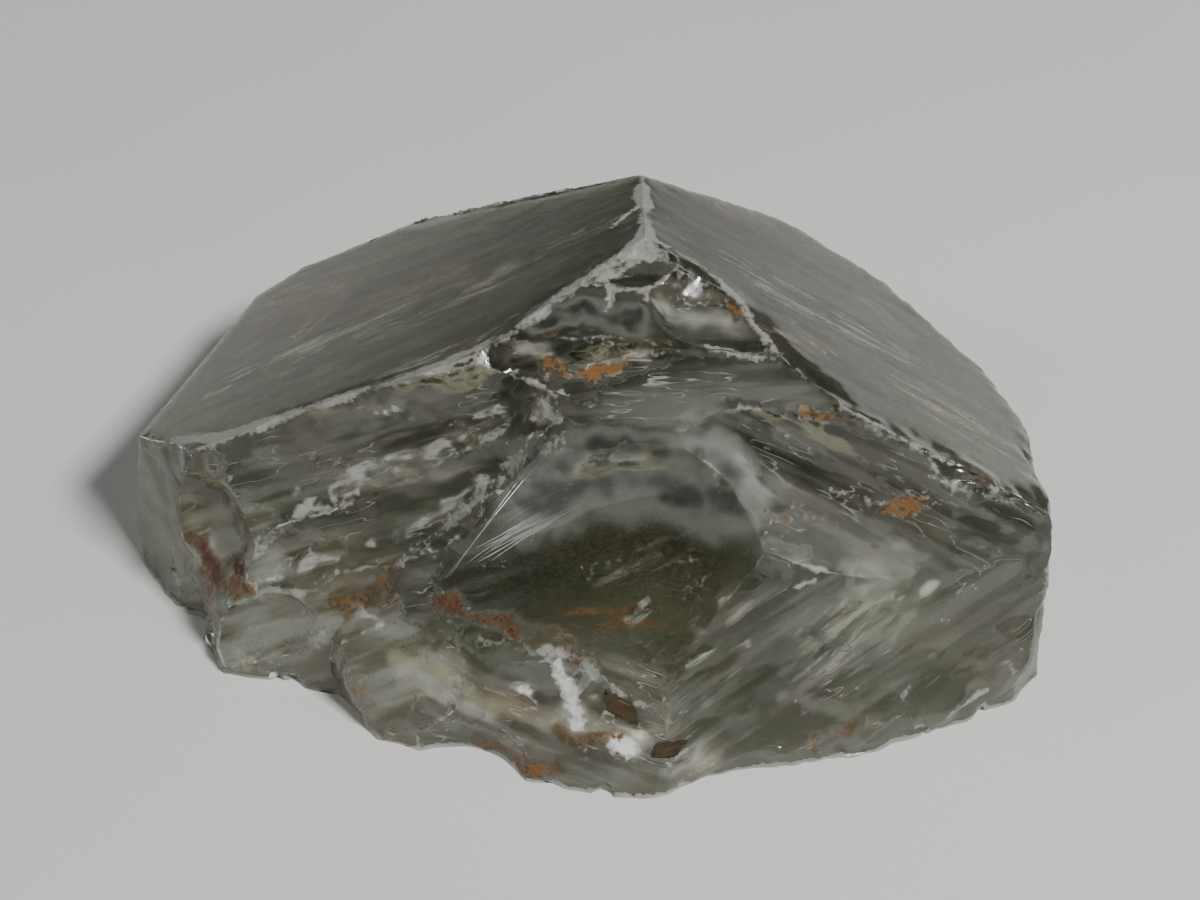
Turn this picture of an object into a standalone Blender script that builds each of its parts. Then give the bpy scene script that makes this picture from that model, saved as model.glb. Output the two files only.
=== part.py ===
"""Rough goshenite crystal: a broken, clear beryl with two flat pyramid faces that meet
in a ridge, a step-fractured front, and a flat broken base that it rests on.

Lengths are millimetres in this file until they are scaled to metres. X runs to the
right, Y to the back, Z up, and the base lies on the plane Z = 0.
"""
import math
import random

import bmesh
import bpy
from mathutils import Matrix, Vector, noise

MM = 0.001
NAME = "goshenite_crystal"

# Driving dimensions
WIDTH = 33.4
DEPTH = 24.0
HEIGHT = 14.2
APEX = (1.8, 0.8, 13.9)
RIDGE_END = (1.8, 6.6, 12.2)
LEFT_CORNER = (-16.0, -0.2, 5.4)
RIGHT_CORNER = (15.7, -6.1, 7.3)
FRONT_TIP = (1.0, -12.5, 0.0)
BACK_WALL_Y = 11.2
PYRAMID_SLOPE = 30.0

# Faces of the block: name, a point on the face, its slope from level, the compass
# heading of its outward side in degrees from +X towards +Y, and whether it stays flat
BLOCK_FACES = (
    ("left pyramid face", APEX, PYRAMID_SLOPE, 150.0, True),
    ("right pyramid face", APEX, PYRAMID_SLOPE + 5.0, 25.0, True),
    ("back slope", RIDGE_END, 53.0, 88.0, False),
    ("back wall", (0.0, BACK_WALL_Y, 2.0), 90.0, 90.0, True),
    ("left back wall", (-14.3, 7.0, 3.0), 88.0, 160.0, True),
    ("left end", (-16.9, 0.0, 3.0), 86.0, 180.0, False),
    ("left shoulder", LEFT_CORNER, 55.0, 190.0, False),
    ("right back wall", (12.6, 6.8, 5.0), 88.0, 41.0, True),
    ("right back corner", (9.6, 9.3, 5.8), 70.0, 62.0, False),
    ("right end", RIGHT_CORNER, 90.0, 0.0, True),
    ("right front corner", (15.4, -7.1, 0.0), 88.0, -32.0, False),
    ("front right wall", (13.4, -7.7, 9.4), 85.0, -66.0, False),
    ("front left wall", (-5.2, -3.5, 11.6), 60.0, 246.0, False),
    ("sub-apex terrace", APEX, 15.0, -99.0, False),
    ("front wall", (3.1, -5.8, 10.9), 58.0, -95.0, False),
    ("front wall left of the tip", FRONT_TIP, 67.0, 252.0, False),
    ("front wall right of the tip", FRONT_TIP, 68.0, -75.0, False),
    ("lower left corner", (-15.9, -1.9, 0.0), 79.0, 212.0, False),
    ("back left corner", (-12.8, 10.7, 1.0), 84.0, 124.0, False),
    ("right back corner foot", (15.45, 2.7, 0.0), 87.0, 18.0, False),
    ("back foot", (2.5, 11.2, 1.5), 116.0, 87.0, False),
    ("left foot", (-16.7, 1.5, 0.9), 114.0, 172.0, False),
    ("right foot", (15.7, -1.0, 0.8), 118.0, 4.0, False),
)

# Re-entrant corners: name, a point on the inner edge, then the slope and heading of the
# two walls that meet there
WEDGES = (
    ("left bite", (-9.0, -7.5, 0.0), ((80.0, 256.0), (86.0, 214.0))),
)

# Shallow dishes left by conchoidal breaks: name, a point on the surface, slope and heading
# of the surface, width, height, depth, and the roll of the width axis
DISHES = (
    ("dark window", (-0.2, -7.9, 7.3), 58.0, -97.0, 15.5, 7.6, 1.35, 16.0),
    ("long trough", (-8.6, -4.0, 8.0), 58.0, 246.0, 17.0, 4.0, 0.9, 30.0),
    ("striated scar", (-5.4, -5.4, 7.9), 60.0, 240.0, 9.0, 3.6, 0.7, 44.0),
    ("right slope scar", (8.0, -6.7, 9.0), 64.0, -82.0, 13.0, 5.4, 0.75, -32.0),
    ("right slope flake", (5.2, -6.2, 10.2), 58.0, -88.0, 4.6, 4.0, 0.5, -40.0),
    ("upper bulge scar", (-9.2, -5.4, 5.3), 60.0, 240.0, 5.4, 2.6, 0.5, 40.0),
    ("middle bulge scar", (-8.6, -7.0, 3.8), 60.0, 244.0, 5.2, 2.4, 0.5, 38.0),
    ("lower bulge scar", (-11.0, -6.6, 2.0), 64.0, 235.0, 5.2, 2.2, 0.5, 30.0),
    ("left end scar", (-13.2, -3.6, 4.0), 64.0, 222.0, 3.8, 3.4, 0.5, 20.0),
    ("glassy scar", (-1.6, -10.2, 2.9), 60.0, -102.0, 5.4, 2.8, 0.45, 10.0),
    ("tip scar", (1.4, -11.2, 2.2), 64.0, -92.0, 4.0, 2.6, 0.4, -20.0),
    ("foot bite", (-4.3, -10.6, 0.3), 75.0, 256.0, 4.0, 2.4, 0.7, 0.0),
    ("right of tip bite", (5.0, -11.4, 0.3), 80.0, -75.0, 4.6, 2.2, 0.5, 0.0),
    ("lower right scar", (6.6, -9.6, 3.4), 68.0, -75.0, 13.0, 5.6, 0.4, 4.0),
    ("right wall scar", (12.0, -8.0, 4.2), 74.0, -68.0, 7.0, 6.4, 0.25, 40.0),
    ("terrace dark scar", (-0.8, -2.7, 12.95), 15.0, -99.0, 4.6, 1.9, 0.35, 4.0),
    ("terrace pale scar", (-0.9, -3.7, 12.3), 62.0, -100.0, 5.0, 2.2, 0.4, 0.0),
    ("terrace brown scar", (4.2, -1.8, 13.0), 22.0, -80.0, 4.6, 3.8, 0.9, -15.0),
    ("apex chip", (1.6, -0.7, 13.5), 15.0, -99.0, 3.0, 1.4, 0.3, 10.0),
    ("left notch", (-14.3, -3.9, 0.5), 78.0, 214.0, 1.3, 2.4, 0.5, 20.0),
    ("left end hollow", (-16.6, -0.4, 3.2), 82.0, 194.0, 3.4, 2.4, 0.2, 10.0),
    ("back left scar", (-1.6, 10.9, 4.0), 66.0, 92.0, 9.4, 3.6, 0.5, 8.0),
    ("back right scar", (4.8, 10.6, 4.4), 62.0, 84.0, 7.4, 3.6, 0.45, 20.0),
    ("back upper scar", (1.4, 8.9, 8.2), 54.0, 90.0, 5.0, 3.0, 0.3, 50.0),
    ("back foot scar", (4.5, 10.9, 0.4), 84.0, 90.0, 12.0, 3.4, 0.5, 4.0),
    ("left back foot scar", (-15.4, 4.2, 0.2), 80.0, 164.0, 8.0, 2.4, 0.4, -4.0),
)

# Flat-bottomed steps: name, a point on the floor of the step, slope and heading of that
# floor, width, height, roll
STEPS = (
    ("matte facet", (3.0, -5.2, 11.2), 25.0, -95.0, 10.4, 4.6, 6.0),
)

# Ridges that are worn by small chips: name, start, end, slope and heading of the open
# side, count and size of the chips
WORN_EDGES = (
    ("left ridge", (-4.6, -3.5, 12.0), (-13.2, -2.5, 7.2), 40.0, 225.0, 9, 0.5),
    ("left ridge top", APEX, (-2.9, -3.0, 12.7), 20.0, 220.0, 5, 0.4),
    ("right ridge top", APEX, (6.0, -3.9, 12.7), 20.0, -40.0, 4, 0.4),
    ("right ridge", (9.6, -6.8, 11.2), (15.6, -6.1, 7.4), 55.0, -60.0, 5, 0.4),
    ("window ridge", (-1.4, -6.0, 10.3), (-6.4, -6.8, 5.8), 58.0, -105.0, 6, 0.6),
    ("front foot", (-6.8, -10.1, 0.0), (1.0, -12.5, 0.0), 110.0, 254.0, 5, 0.9),
    ("right foot", (2.0, -12.3, 0.0), (14.6, -8.0, 0.0), 110.0, -72.0, 5, 0.45),
    ("left foot", (-15.6, -2.8, 0.0), (-9.6, -7.2, 0.0), 110.0, 225.0, 6, 0.7),
    ("back foot", (-12.6, 11.2, 0.0), (9.0, 11.2, 0.0), 110.0, 90.0, 9, 0.9),
)
SEED = 7

# How the cutting shapes are made
BLOCK_MARGIN = 6.0
STEP_REACH = 4.0
STEP_FLARE = 1.12
STEP_SEGMENTS = 40
WEDGE_REACH = 12.0
CAP_ANGLE = 50.0
WIDE_DISH = 8.0
WIDE_DISH_DETAIL = 4
DISH_DETAIL = 3
WARP = 0.13
WARP_SCALE = 1.3
CHIP_DETAIL = 1
CHIP_SPREAD = (0.2, 0.8)
CHIP_SIZES = (0.55, 1.25)
CHIP_RADII = (0.6, 1.2)
CHIP_STANDOFF = 0.7
CUT_TOLERANCE = 1e-5

STONE_COLOUR = (0.55, 0.54, 0.47, 1.0)
STONE_ROUGHNESS = 0.12
BERYL_IOR = 1.58
CREASE_ANGLE = 28.0

# Natural roughness of the broken surfaces
GRAIN_EDGE = 0.95
REFINE_ROUNDS = 3
WAVE_HEIGHT = 0.13
WAVE_SCALE = 0.45
WAVE_FRACTAL = (0.9, 2.1, 3)
LUMP_HEIGHT = 0.32
LUMP_SCALE = 0.42
LUMP_LEVEL = 0.35
LUMP_CENTRE = (-11.5, -4.6, 2.6)
LUMP_RADIUS = 5.0
LUMP_FADE = 2.0
FLAT_TOLERANCE = 0.02
WELD_DISTANCE = 0.06
SLIVER_LENGTH = 0.02


def direction(slope, heading):
    """Unit vector whose plane has this slope and faces this compass heading."""
    s = math.radians(slope)
    h = math.radians(heading)
    return Vector((math.sin(s) * math.cos(h), math.sin(s) * math.sin(h), math.cos(s)))


def surface_frame(point, slope, heading, roll):
    """Placement whose X runs to the right on a face, Y up the face, and Z out of it."""
    out = direction(slope, heading)
    h = math.radians(heading)
    right = Vector((-math.sin(h), math.cos(h), 0.0))
    up = out.cross(right)
    turn = Matrix((right, up, out)).transposed().to_4x4()
    return Matrix.Translation(point) @ turn @ Matrix.Rotation(math.radians(roll), 4, "Z")


def cut_flat(bm, point, normal):
    """Slice off what lies outside one plane and close the cut with a flat face."""
    geometry = bm.verts[:] + bm.edges[:] + bm.faces[:]
    cut = bmesh.ops.bisect_plane(
        bm, geom=geometry, dist=CUT_TOLERANCE, plane_co=Vector(point), plane_no=normal,
        clear_outer=True,
    )
    rim = [item for item in cut["geom_cut"] if isinstance(item, bmesh.types.BMEdge)]
    if rim:
        bmesh.ops.contextual_create(bm, geom=rim)


def box_mesh(centre, size):
    """A plain block to slice from."""
    bm = bmesh.new()
    place = Matrix.Translation(centre) @ Matrix.Diagonal((*size, 1.0))
    bmesh.ops.create_cube(bm, size=1.0, matrix=place)
    return bm


def block_mesh():
    """The crystal's convex body before its chips and dishes."""
    size = (WIDTH + BLOCK_MARGIN, DEPTH + BLOCK_MARGIN, HEIGHT + BLOCK_MARGIN)
    bm = box_mesh((0.0, 0.0, size[2] / 2), size)
    for _, point, slope, heading, _ in BLOCK_FACES:
        cut_flat(bm, point, direction(slope, heading))
    bmesh.ops.recalc_face_normals(bm, faces=bm.faces[:])
    return bm


def warp_ball(verts, place, seed):
    """Give a unit ball an uneven outline, then put it in its place."""
    for vert in verts:
        vert.co *= 1.0 + WARP * noise.noise(vert.co * WARP_SCALE + seed)
        vert.co = place @ vert.co


def dish_mesh(point, slope, heading, width, height, depth, roll):
    """An ellipsoid that sinks into a face by the depth and opens to width by height."""
    bm = bmesh.new()
    cap = math.radians(CAP_ANGLE)
    thick = depth / (1.0 - math.cos(cap))
    place = surface_frame(point, slope, heading, roll)
    place = place @ Matrix.Translation((0.0, 0.0, thick * math.cos(cap)))
    spread = 2.0 * math.sin(cap)
    size = Matrix.Diagonal((width / spread, height / spread, thick, 1.0))
    detail = WIDE_DISH_DETAIL if width > WIDE_DISH else DISH_DETAIL
    ball = bmesh.ops.create_icosphere(bm, subdivisions=detail, radius=1.0)
    warp_ball(ball["verts"], place @ size, Vector(point))
    return bm


def step_mesh(point, slope, heading, width, height, roll):
    """A flat-ended elliptical drum that leaves a flat floor and a steep riser."""
    bm = bmesh.new()
    place = surface_frame(point, slope, heading, roll)
    place = place @ Matrix.Translation((0.0, 0.0, STEP_REACH / 2))
    size = Matrix.Diagonal((width / 2, height / 2, STEP_REACH, 1.0))
    bmesh.ops.create_cone(bm, cap_ends=True, segments=STEP_SEGMENTS, radius1=1.0,
                          radius2=STEP_FLARE, depth=1.0, matrix=place @ size)
    return bm


def wedge_mesh(point, walls):
    """A block that takes away the corner outside both walls."""
    bm = box_mesh(point, (WEDGE_REACH, WEDGE_REACH, WEDGE_REACH))
    for slope, heading in walls:
        cut_flat(bm, point, -direction(slope, heading))
    bmesh.ops.recalc_face_normals(bm, faces=bm.faces[:])
    return bm


def chip_mesh(centre, size, rng):
    """A small angular pebble, turned at random, that nicks an edge."""
    bm = bmesh.new()
    ball = bmesh.ops.create_icosphere(bm, subdivisions=CHIP_DETAIL, radius=1.0)
    angle = rng.uniform(0.0, math.tau)
    axis = Vector([rng.uniform(-1.0, 1.0) for _ in range(3)])
    turn = Matrix.Rotation(angle, 4, axis)
    radii = [size * rng.uniform(*CHIP_RADII) for _ in range(3)]
    place = Matrix.Translation(centre) @ turn @ Matrix.Diagonal((*radii, 1.0))
    warp_ball(ball["verts"], place, Vector(centre))
    return bm


def edge_chips(rng):
    """Chips scattered along the worn edges, mostly outside the stone."""
    for name, start, end, slope, heading, count, size in WORN_EDGES:
        outward = direction(slope, heading)
        for index in range(count):
            along = (index + rng.uniform(*CHIP_SPREAD)) / count
            spot = Vector(start).lerp(Vector(end), along)
            big = size * rng.uniform(*CHIP_SIZES)
            centre = spot + outward * big * CHIP_STANDOFF
            yield f"{name} chip {index}", chip_mesh(centre, big, rng)


def mesh_object(bm, name, collection):
    """Make a named object, in metres, from a shape in millimetres."""
    mesh = bpy.data.meshes.new(name)
    bmesh.ops.scale(bm, vec=(MM, MM, MM), verts=bm.verts[:])
    bm.to_mesh(mesh)
    bm.free()
    obj = bpy.data.objects.new(name, mesh)
    collection.objects.link(obj)
    return obj


def new_collection(name):
    """A named collection of the scene."""
    collection = bpy.data.collections.new(name)
    bpy.context.scene.collection.children.link(collection)
    return collection


def stone_material():
    """Clear, faintly smoky beryl with satin, stained breaks."""
    material = bpy.data.materials.new("clear smoky beryl")
    material.use_nodes = True
    shader = material.node_tree.nodes["Principled BSDF"]
    shader.inputs["Base Color"].default_value = STONE_COLOUR
    shader.inputs["Roughness"].default_value = STONE_ROUGHNESS
    shader.inputs["Metallic"].default_value = 0.0
    shader.inputs["IOR"].default_value = BERYL_IOR
    shader.inputs["Transmission Weight"].default_value = 1.0
    return material


def take_away(obj, name, collection):
    """Cut every shape of a collection out of an object."""
    boolean = obj.modifiers.new(name, "BOOLEAN")
    boolean.operation = "DIFFERENCE"
    boolean.operand_type = "COLLECTION"
    boolean.collection = collection
    boolean.solver = "EXACT"


def apply_modifiers(obj):
    """Replace an object's mesh by what its modifiers make of it."""
    graph = bpy.context.evaluated_depsgraph_get()
    mesh = bpy.data.meshes.new_from_object(obj.evaluated_get(graph))
    obj.modifiers.clear()
    obj.data = mesh


def flat_planes():
    """The base, the growth faces and the step floors: a point and a normal for each."""
    planes = [(Vector((0.0, 0.0, 0.0)), Vector((0.0, 0.0, -1.0)))]
    for _, point, slope, heading, stays_flat in BLOCK_FACES:
        if stays_flat:
            planes.append((Vector(point), direction(slope, heading)))
    for _, point, slope, heading, *_ in STEPS:
        planes.append((Vector(point), direction(slope, heading)))
    return planes


def planes_through(co, planes):
    """Normals of the flat faces that a point lies on."""
    return [normal for point, normal in planes
            if abs((co - point).dot(normal)) < FLAT_TOLERANCE]


def is_flat(face, planes):
    """True where every corner of a face lies on one of the faces that stay flat."""
    for point, normal in planes:
        if all(abs((v.co - point).dot(normal)) < FLAT_TOLERANCE for v in face.verts):
            return True
    return False


def refine(bm, planes):
    """Split the long edges of the broken surfaces, and leave the flat faces whole."""
    for _ in range(REFINE_ROUNDS):
        broken = [face for face in bm.faces if not is_flat(face, planes)]
        bmesh.ops.triangulate(bm, faces=broken)
        long_edges = [
            edge for edge in bm.edges if edge.calc_length() > GRAIN_EDGE
            and any(not is_flat(face, planes) for face in edge.link_faces)
        ]
        bmesh.ops.subdivide_edges(bm, edges=long_edges, cuts=1)


def roughness(co):
    """How far a broken surface stands in or out of its smooth form at a point."""
    wave = noise.fractal(co * WAVE_SCALE, *WAVE_FRACTAL)
    near = max(0.0, 1.0 - (co - Vector(LUMP_CENTRE)).length / LUMP_RADIUS)
    cell = noise.voronoi(co * LUMP_SCALE)[0][0]
    lump = min(1.0, LUMP_FADE * near) * (LUMP_LEVEL - cell)
    return WAVE_HEIGHT * wave + LUMP_HEIGHT * lump


def roughen(bm, planes):
    """Push broken surfaces in and out; points on flat faces only slide within them."""
    bm.normal_update()
    moves = []
    for vert in bm.verts:
        held = planes_through(vert.co, planes)
        if len(held) > 1:
            continue
        move = vert.normal * roughness(vert.co)
        for normal in held:
            move -= normal * move.dot(normal)
        moves.append((vert, move))
    for vert, move in moves:
        vert.co += move
        vert.co.z = max(vert.co.z, 0.0)


def stand_on_origin(bm):
    """Centre the stone over the origin with its base on the ground plane."""
    corners = [[pick(vert.co[axis] for vert in bm.verts) for axis in range(3)]
               for pick in (min, max)]
    middle = (Vector(corners[0]) + Vector(corners[1])) / 2
    middle.z = corners[0][2]
    bmesh.ops.translate(bm, vec=-middle, verts=bm.verts[:])


def finish_surface(obj):
    """Turn the cut block into the worn, broken stone."""
    bm = bmesh.new()
    bm.from_mesh(obj.data)
    bmesh.ops.scale(bm, vec=(1 / MM, 1 / MM, 1 / MM), verts=bm.verts[:])
    bmesh.ops.remove_doubles(bm, verts=bm.verts[:], dist=WELD_DISTANCE)
    bmesh.ops.dissolve_degenerate(bm, edges=bm.edges[:], dist=SLIVER_LENGTH)
    planes = flat_planes()
    refine(bm, planes)
    roughen(bm, planes)
    bmesh.ops.triangulate(bm, faces=bm.faces[:])
    stand_on_origin(bm)
    bmesh.ops.scale(bm, vec=(MM, MM, MM), verts=bm.verts[:])
    bm.to_mesh(obj.data)
    bm.free()
    obj.data.shade_smooth()
    obj.data.set_sharp_from_angle(angle=math.radians(CREASE_ANGLE))


def main():
    for item in list(bpy.data.objects):
        bpy.data.objects.remove(item)
    rng = random.Random(SEED)
    parts = new_collection(NAME)
    cutters = new_collection("cutters")
    crystal = mesh_object(block_mesh(), "crystal", parts)
    for name, *values in WEDGES:
        mesh_object(wedge_mesh(*values), name, cutters)
    for name, *values in DISHES:
        mesh_object(dish_mesh(*values), name, cutters)
    for name, *values in STEPS:
        mesh_object(step_mesh(*values), name, cutters)
    for name, chip in edge_chips(rng):
        mesh_object(chip, name, cutters)
    for cutter in cutters.objects:
        cutter.hide_render = True
        cutter.display_type = "WIRE"
    take_away(crystal, "breaks", cutters)
    apply_modifiers(crystal)
    finish_surface(crystal)
    crystal.data.materials.append(stone_material())


main()
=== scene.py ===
import math
import random
from types import SimpleNamespace

import bmesh
import bpy
import numpy as np
from mathutils import Matrix, Vector, kdtree, noise
from mathutils.bvhtree import BVHTree


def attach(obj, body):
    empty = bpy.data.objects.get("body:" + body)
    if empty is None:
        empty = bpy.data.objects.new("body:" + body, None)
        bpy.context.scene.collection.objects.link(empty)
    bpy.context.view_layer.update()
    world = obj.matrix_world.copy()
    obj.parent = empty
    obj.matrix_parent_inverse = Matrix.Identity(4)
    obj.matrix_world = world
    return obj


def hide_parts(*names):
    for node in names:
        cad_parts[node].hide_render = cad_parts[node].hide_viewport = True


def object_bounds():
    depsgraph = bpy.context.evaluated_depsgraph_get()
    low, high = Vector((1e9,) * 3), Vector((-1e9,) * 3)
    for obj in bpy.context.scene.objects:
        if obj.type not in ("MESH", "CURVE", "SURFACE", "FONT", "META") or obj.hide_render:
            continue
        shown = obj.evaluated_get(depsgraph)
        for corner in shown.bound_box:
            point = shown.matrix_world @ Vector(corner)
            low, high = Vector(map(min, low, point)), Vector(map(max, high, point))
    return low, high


# A rough goshenite crystal on a pale floor. Lengths are millimetres in the stone's own
# frame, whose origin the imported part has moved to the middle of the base, until a mesh is
# handed to Blender. Places written as (x, y) pairs are pixels of a 1200 x 900 photograph.

MM = 0.001
SEED = 11

# Landmarks of the stone, as in the solid
APEX = (1.8, 0.8, 13.9)
RIGHT_END_X = 15.7
BACK_WALL_Y = 11.2

# Camera
PHOTO_SIZE = (1200, 900)
AIM = (0.2, -4.5, 8.8)
CAMERA_ELEVATION = 42.0
CAMERA_DISTANCE = 96.0
LENS = 85.0
SENSOR = 36.0

# Fineness of the mesh
LONGEST_EDGE = 0.34
SPLIT_ROUNDS = 9
CREASE_ANGLE = 28.0
RELAX_ROUNDS = 12
FINISH_FADE = 8
CHIP_ANGLE = 24.0
BERYL_IOR = 1.58

# Colours of the stone: clear, frosted, bruised white and painted highlight, hazy, stained, painted
# shade, and its smoky body
CLEAR_TINT = (0.91, 0.93, 0.85, 1.0)
FROST_TINT = (0.46, 0.46, 0.42, 1.0)
BRUISE_AND_HIGHLIGHT_TINT = (0.78, 0.79, 0.77, 1.0)
OLIVE_HAZE = (0.48, 0.47, 0.34, 1.0)
GREY_HAZE = (0.70, 0.72, 0.64, 1.0)
BROWN_HAZE = (0.25, 0.155, 0.065, 1.0)
ORANGE = (0.19, 0.085, 0.020, 1.0)
DARK_RED = (0.075, 0.020, 0.008, 1.0)
PAINTED_SHADE_TINT = (0.060, 0.064, 0.050, 1.0)
SMOKE_TINT = (0.62, 0.62, 0.49, 1.0)
SMOKE_DENSITY = 200.0

# Colours of what is inside it, each from one end of its mottle to the other
VEIL_TINTS = ((0.84, 0.86, 0.82, 1.0), (0.45, 0.22, 0.07, 1.0))
NEEDLE_TINTS = ((0.80, 0.86, 0.96, 1.0), (0.97, 0.98, 1.00, 1.0))
MICA_TINTS = ((0.020, 0.013, 0.006, 1.0), (0.070, 0.042, 0.016, 1.0))
FLOOR_TINTS = ((0.60, 0.60, 0.59, 1.0), (0.64, 0.64, 0.63, 1.0))

# Bumps of the shaders, in metres
SCRATCH_BUMP = 0.00003
FROST_BUMP = 0.00004
FILM_BUMP = 0.0001

# Films inside the stone, in millimetres
FILM_THICKNESS = 0.02
FILM_MARGIN = 0.22
CRACK_THICKNESS = 0.03
GRAIN_THICKNESS = 0.3
GRAIN_TILT = (66.0, -98.0)

# Studio, in metres: name, place, size, power and colour of each light
FLOOR_HALF = 0.9
FLOOR_GAP = 0.00003
LIGHTS = (
    ("key", (0.135, -0.115, 0.215), (0.07, 0.06), 1.05, (1.0, 0.99, 0.97)),
    ("left", (-0.26, -0.04, 0.14), (0.08, 0.08), 0.12, (1.0, 0.98, 0.94)),
)
SKY_COLOUR = (0.75, 0.77, 0.80, 1.0)
SKY_STRENGTH = 0.20

# Wear and unevenness of the surface, in millimetres
WEAR_REACH = 0.22
WEAR_DEPTH = 0.035
UNSETTLED_COARSE = 0.24
UNSETTLED_FINE = 0.10
LEAST_RELIEF_OF_BROKEN = 0.007
ON_BASE = 0.01
BASE_FROST = 0.66
BASE_RIM_WIDTH = 3.0
# Painted shadow on the base: dark round its middle, where the stone rests, and towards its back
BASE_SHADOW_MIDDLE = ((-3.0, -0.5, 0.0), (4.0, 0.5, 0.0))
BASE_SHADOW_REACH = 6.0
BASE_SHADE_DEPTH = 5.0
PATCH_SCALE = 0.3

# Parts of the surface that share one grain and one finish: name, a point in the middle,
# slope, heading, roll of the grain, wavelength and height of its striae, haze, roughness
GRAIN = (
    ("left growth face", (-6.0, 3.0, 10.0), 30.0, 150.0, -62.0, 1.3, 0.0014, 0.36, 0.07),
    ("right growth face", (9.0, 1.5, 9.5), 35.0, 25.0, 60.0, 1.3, 0.0014, 0.34, 0.06),
    ("left wall", (-8.0, -4.4, 7.5), 58.0, 246.0, 30.0, 0.62, 0.020, 0.60, 0.22),
    ("bulge", (-10.5, -6.0, 3.2), 62.0, 240.0, 38.0, 1.15, 0.045, 0.92, 0.24),
    ("window", (-0.5, -7.6, 7.0), 58.0, -97.0, 22.0, 1.3, 0.004, 0.30, 0.04),
    ("front tip", (-0.5, -10.5, 2.0), 66.0, 255.0, -12.0, 0.9, 0.020, 0.75, 0.12),
    ("right slope", (8.5, -6.9, 8.5), 64.0, -82.0, -32.0, 0.8, 0.018, 0.50, 0.12),
    ("lower right", (8.0, -9.0, 3.4), 68.0, -75.0, 24.0, 1.2, 0.012, 0.52, 0.12),
    ("left end", (-15.8, -0.6, 3.2), 84.0, 190.0, 10.0, 1.6, 0.020, 0.50, 0.20),
    ("terrace", (1.6, -2.4, 12.8), 20.0, -95.0, 0.0, 0.5, 0.010, 0.45, 0.14),
    ("matte facet", (3.0, -5.2, 11.2), 25.0, -95.0, 6.0, 0.5, 0.000, 0.60, 0.40),
    ("right end", (15.7, -1.0, 4.0), 90.0, 0.0, 0.0, 1.4, 0.003, 0.55, 0.30),
    ("back", (0.0, 10.5, 6.0), 60.0, 88.0, 12.0, 1.0, 0.020, 0.60, 0.20),
    ("left back", (-14.3, 7.0, 4.0), 88.0, 160.0, 0.0, 1.4, 0.003, 0.65, 0.15),
    ("base", (0.0, 0.0, 0.0), 180.0, 0.0, 20.0, 1.2, 0.004, 0.00, 0.40),
)

WAVELENGTH_COLUMN, HEIGHT_COLUMN, HAZE_COLUMN, SATIN_COLUMN = 5, 6, 7, 8

# Faces that stay flat: a point, slope and heading
FLAT_FACES = (
    (APEX, 30.0, 150.0),
    (APEX, 35.0, 25.0),
    ((0.0, 0.0, 0.0), 180.0, 0.0),
    ((15.7, 0.0, 0.0), 90.0, 0.0),
    ((0.0, 11.2, 2.0), 90.0, 90.0),
    ((-14.3, 7.0, 3.0), 88.0, 160.0),
    ((12.6, 6.8, 5.0), 88.0, 41.0),
    ((3.0, -5.2, 11.2), 25.0, -95.0),
)
FLAT_TOLERANCE = 0.03
UNSETTLED_REACH = 0.9

# Crushed patches, broken into little tilted facets: line of pixels, reach, height
CRUSHED = (
    (((575, 285), (648, 250), (700, 285)), 1.1, 0.17),
    (((650, 350), (700, 352), (770, 355)), 0.5, 0.10),
    (((800, 415), (850, 430), (880, 470), (930, 500)), 0.8, 0.06),
    (((840, 490), (870, 502), (930, 500)), 0.45, 0.08),
    (((400, 640), (480, 645), (560, 655), (600, 680)), 0.9, 0.10),
    (((300, 630), (340, 640), (270, 665)), 1.1, 0.12),
    (((560, 440), (450, 520), (400, 560)), 0.7, 0.10),
    (((380, 385), (440, 370), (500, 345)), 0.6, 0.08),
)

# Pale frosted lines along ridges: line of pixels, reach, strength
FROST = (
    (((645, 174), (648, 235)), 0.55, 1.3),
    (((648, 235), (590, 275), (510, 333), (440, 365)), 0.50, 1.1),
    (((440, 365), (380, 385), (300, 410), (215, 438), (150, 443)), 0.50, 1.1),
    (((648, 235), (700, 265), (745, 305), (775, 350)), 0.40, 0.95),
    (((775, 350), (830, 395), (870, 430), (930, 475), (1000, 503), (1055, 515)), 0.36, 0.6),
    (((560, 440), (500, 480), (450, 520), (400, 560)), 0.85, 0.95),
    (((690, 440), (720, 490), (775, 510), (830, 530), (880, 560)), 0.30, 0.5),
    (((830, 490), (870, 500), (930, 500)), 0.35, 0.55),
    (((650, 352), (700, 350), (765, 356)), 0.30, 1.0),
    (((205, 600), (250, 560), (310, 505)), 0.55, 0.9),
    (((400, 640), (480, 642), (560, 652), (600, 680)), 0.60, 0.8),
    (((395, 690), (397, 640), (396, 580)), 0.35, 0.5),
    (((240, 655), (330, 640), (350, 660)), 0.9, 0.7),
    (((570, 290), (648, 246), (700, 283)), 0.9, 0.8),
)

# White bruises where the stone is crushed, set on the brightest glints so that they also serve as
# painted highlights: line of pixels, reach, strength
BRUISES_AND_HIGHLIGHTS = (
    (((556, 664), (566, 684), (572, 705), (580, 722)), 0.62, 1.2),
    (((618, 740), (632, 750)), 0.62, 1.2),
    (((518, 684), (527, 689)), 0.40, 1.0),
    (((612, 226), (628, 214), (640, 206)), 0.35, 0.9),
    (((380, 412), (400, 406)), 0.35, 0.8),
)

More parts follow.
